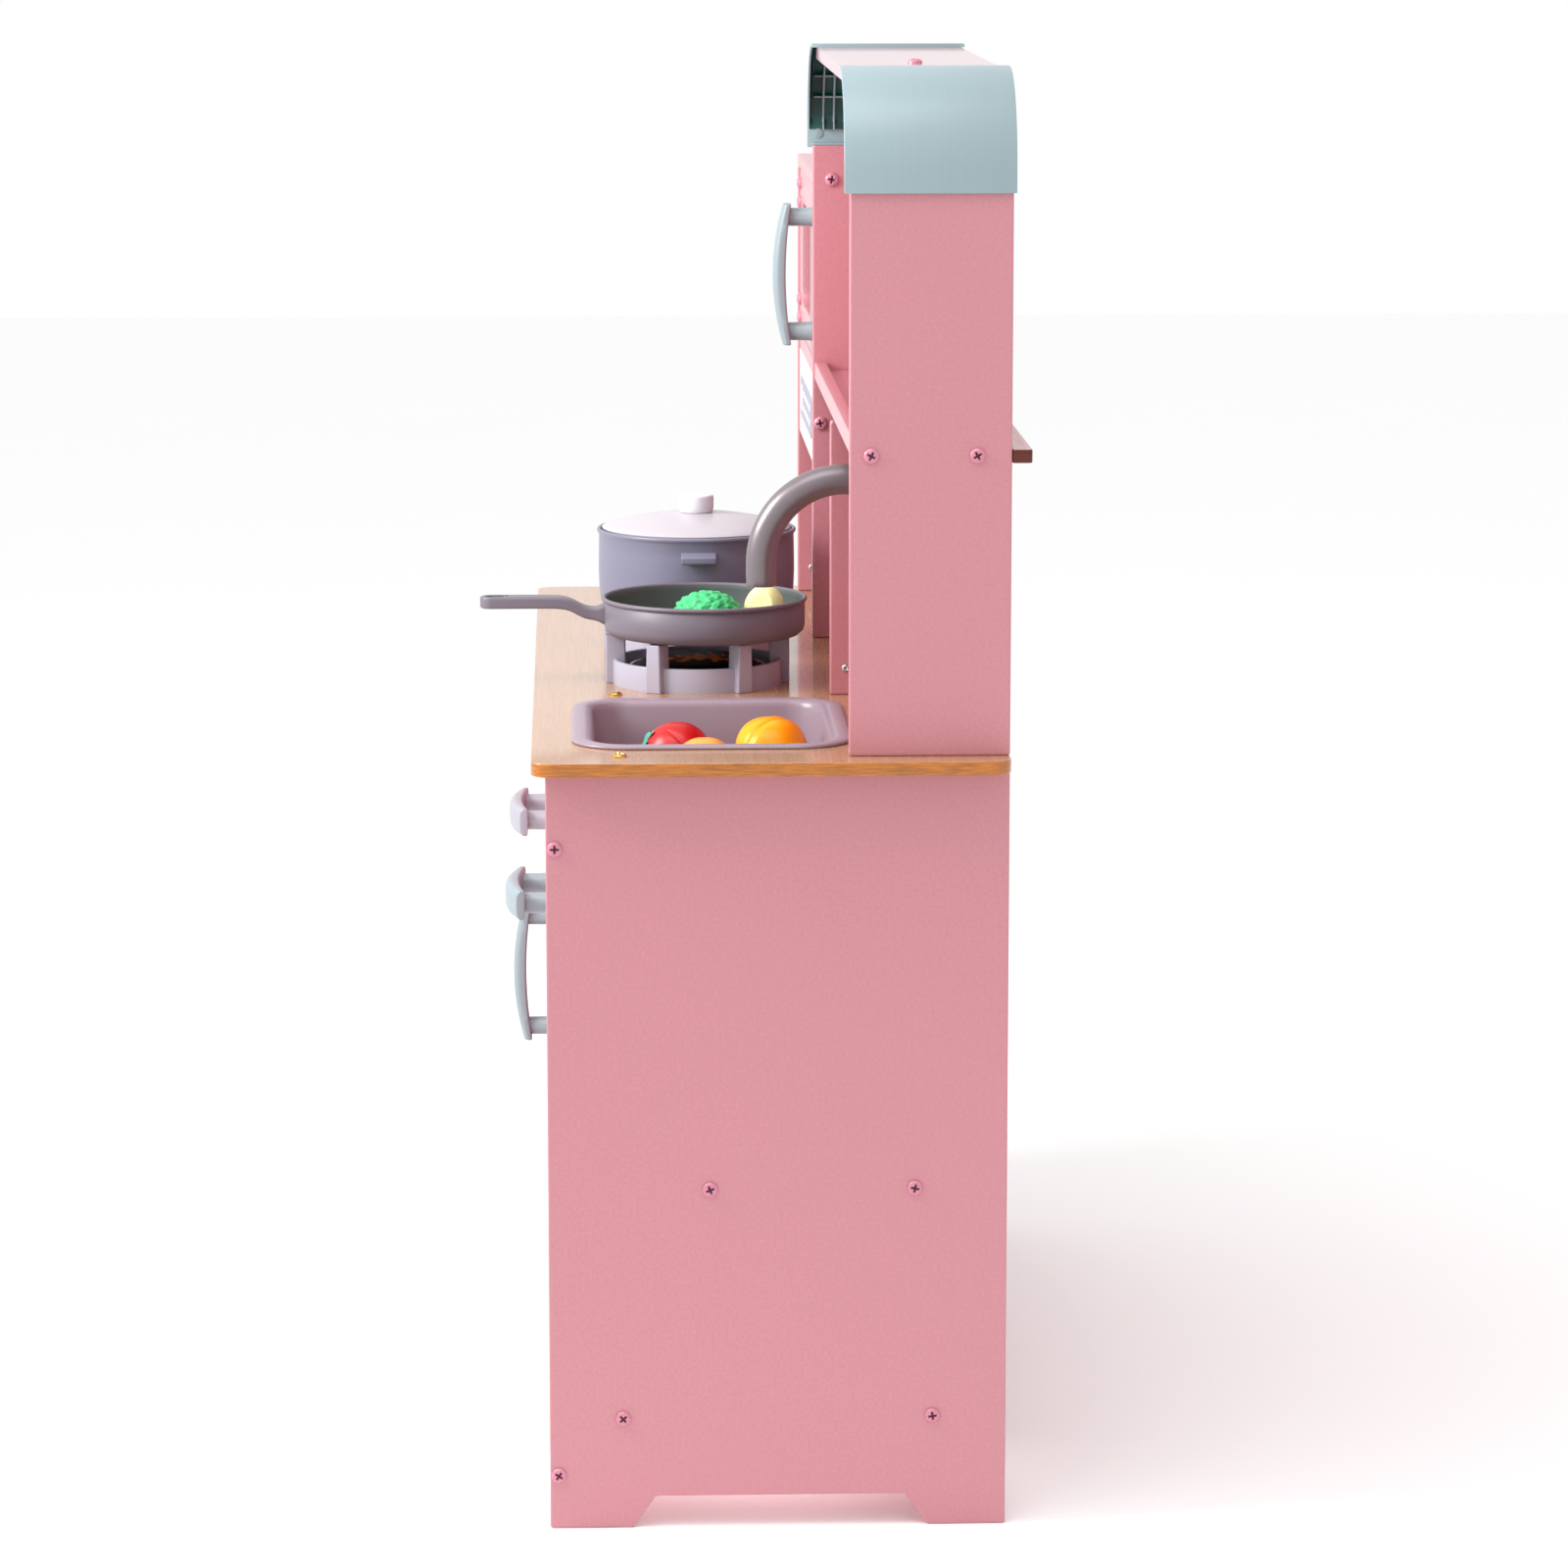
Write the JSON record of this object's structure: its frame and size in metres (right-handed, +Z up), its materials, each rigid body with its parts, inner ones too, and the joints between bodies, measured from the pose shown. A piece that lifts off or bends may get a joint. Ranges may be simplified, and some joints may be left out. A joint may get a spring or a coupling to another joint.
{
  "type": "toy kitchen",
  "caption": "Painted wooden play kitchen with hutch, rounded corner caps, sink, faucet, burners, opening doors and toy cookware.",
  "frame": {"origin": "middle of the object's footprint on the floor", "axes": "+X to the sink side, +Y to the back, +Z up; the doors face -Y"},
  "size_m": [0.846, 0.357, 0.9475],
  "materials": {
    "pink_board": "satin painted board",
    "wood_laminate": "satin printed laminate",
    "brown_wood": "satin",
    "white_board": "satin painted board",
    "label_print": "printed film",
    "mint_plastic": "satin",
    "white_plastic": "satin",
    "pale_plastic": "satin",
    "lavender_plastic": "satin",
    "silver_plastic": "metallic lacquer",
    "grey_plastic": "satin",
    "flame_print": "printed film",
    "steel": "zinc plated",
    "brass": "polished",
    "pink_screw": "painted",
    "clear_window": "clear",
    "green_toy": "moulded",
    "cream_toy": "moulded",
    "red_toy": "moulded",
    "orange_toy": "moulded"
  },
  "bodies": {
    "cabinet": {"side_panel_right": "pink_board", "side_panel_left": "pink_board", "divider_right": "pink_board", "divider_left": "pink_board", "bottom_board": "pink_board", "kick_board": "pink_board", "front_fascia": "pink_board", "base_back_panel": "pink_board", "shelf_right_bay": "pink_board", "shelf_middle_bay": "pink_board", "shelf_left_bay": "pink_board", "hutch_side_right": "pink_board", "hutch_side_middle": "pink_board", "hutch_side_left": "pink_board", "hutch_divider": "pink_board", "hutch_shelf": "pink_board", "left_unit_shelf": "pink_board", "shelf_lips": "pink_board", "left_unit_top": "pink_board", "hutch_top_board": "pink_board", "hutch_back_panel": "pink_board", "countertop": "wood_laminate", "rear_sill": "brown_wood", "display_panel": "white_board", "display_label": "label_print", "corner_cap_right": "mint_plastic", "corner_cap_left": "mint_plastic", "sink_basin": "lavender_plastic", "faucet_spout": "silver_plastic", "faucet_flange": "silver_plastic", "burner_right": "lavender_plastic", "burner_left": "lavender_plastic", "flame_discs": "flame_print", "hinge_pins": "steel", "door_magnets": "white_plastic", "panel_screws": "pink_screw", "counter_screws": "brass", "bracket_screws": "steel"},
    "sink_door": {"sink_door": "pink_board", "sink_door_handle": "mint_plastic"},
    "oven_door": {"oven_door": "pink_board", "oven_window": "clear_window", "oven_door_handle": "white_plastic"},
    "pantry_door": {"pantry_door": "pink_board", "pantry_door_handle": "mint_plastic"},
    "microwave_door": {"microwave_door": "pink_board", "microwave_window": "clear_window", "microwave_door_handle": "mint_plastic", "microwave_hinge_straps": "steel", "microwave_hinge_screws": "pink_screw"},
    "frying_pan": {"frying_pan": "grey_plastic"},
    "stock_pot": {"stock_pot": "grey_plastic"},
    "pot_lid": {"pot_lid": "pale_plastic", "lid_knob": "white_plastic"},
    "toy_broccoli": {"toy_broccoli": "green_toy"},
    "toy_potato": {"toy_potato": "cream_toy"},
    "toy_tomato": {"toy_tomato": "red_toy"},
    "toy_pepper": {"toy_pepper": "orange_toy"},
    "toy_carrot": {"toy_carrot": "orange_toy"}
  },
  "joints": [
    {"name": "sink_door_hinge", "type": "hinge", "parent": "cabinet", "child": "sink_door", "pos_m": [0.26625, -0.1267, 0.0845], "axis": [1, 0, 0], "range_deg": [0, 90]},
    {"name": "oven_door_hinge", "type": "hinge", "parent": "cabinet", "child": "oven_door", "pos_m": [0, -0.1267, 0.0845], "axis": [1, 0, 0], "range_deg": [0, 90]},
    {"name": "pantry_door_hinge", "type": "hinge", "parent": "cabinet", "child": "pantry_door", "pos_m": [-0.385, -0.1267, 0.25], "axis": [0, 0, -1], "range_deg": [0, 95]},
    {"name": "microwave_door_hinge", "type": "hinge", "parent": "cabinet", "child": "microwave_door", "pos_m": [-0.385, 0.0678, 0.78], "axis": [0, 0, -1], "range_deg": [0, 95]},
    {"name": "frying_pan_lift", "type": "slide", "parent": "cabinet", "child": "frying_pan", "axis": [0, 0, 1], "range_m": [0, 0.12]},
    {"name": "stock_pot_lift", "type": "slide", "parent": "cabinet", "child": "stock_pot", "axis": [0, 0, 1], "range_m": [0, 0.12]},
    {"name": "pot_lid_lift", "type": "slide", "parent": "stock_pot", "child": "pot_lid", "axis": [0, 0, 1], "range_m": [0, 0.1]},
    {"name": "toy_broccoli_lift", "type": "slide", "parent": "frying_pan", "child": "toy_broccoli", "axis": [0, 0, 1], "range_m": [0, 0.08]},
    {"name": "toy_potato_lift", "type": "slide", "parent": "frying_pan", "child": "toy_potato", "axis": [0, 0, 1], "range_m": [0, 0.08]},
    {"name": "toy_tomato_lift", "type": "slide", "parent": "cabinet", "child": "toy_tomato", "axis": [0, 0, 1], "range_m": [0, 0.06]},
    {"name": "toy_pepper_lift", "type": "slide", "parent": "cabinet", "child": "toy_pepper", "axis": [0, 0, 1], "range_m": [0, 0.06]},
    {"name": "toy_carrot_lift", "type": "slide", "parent": "cabinet", "child": "toy_carrot", "axis": [0, 0, 1], "range_m": [0, 0.06]}
  ]
}
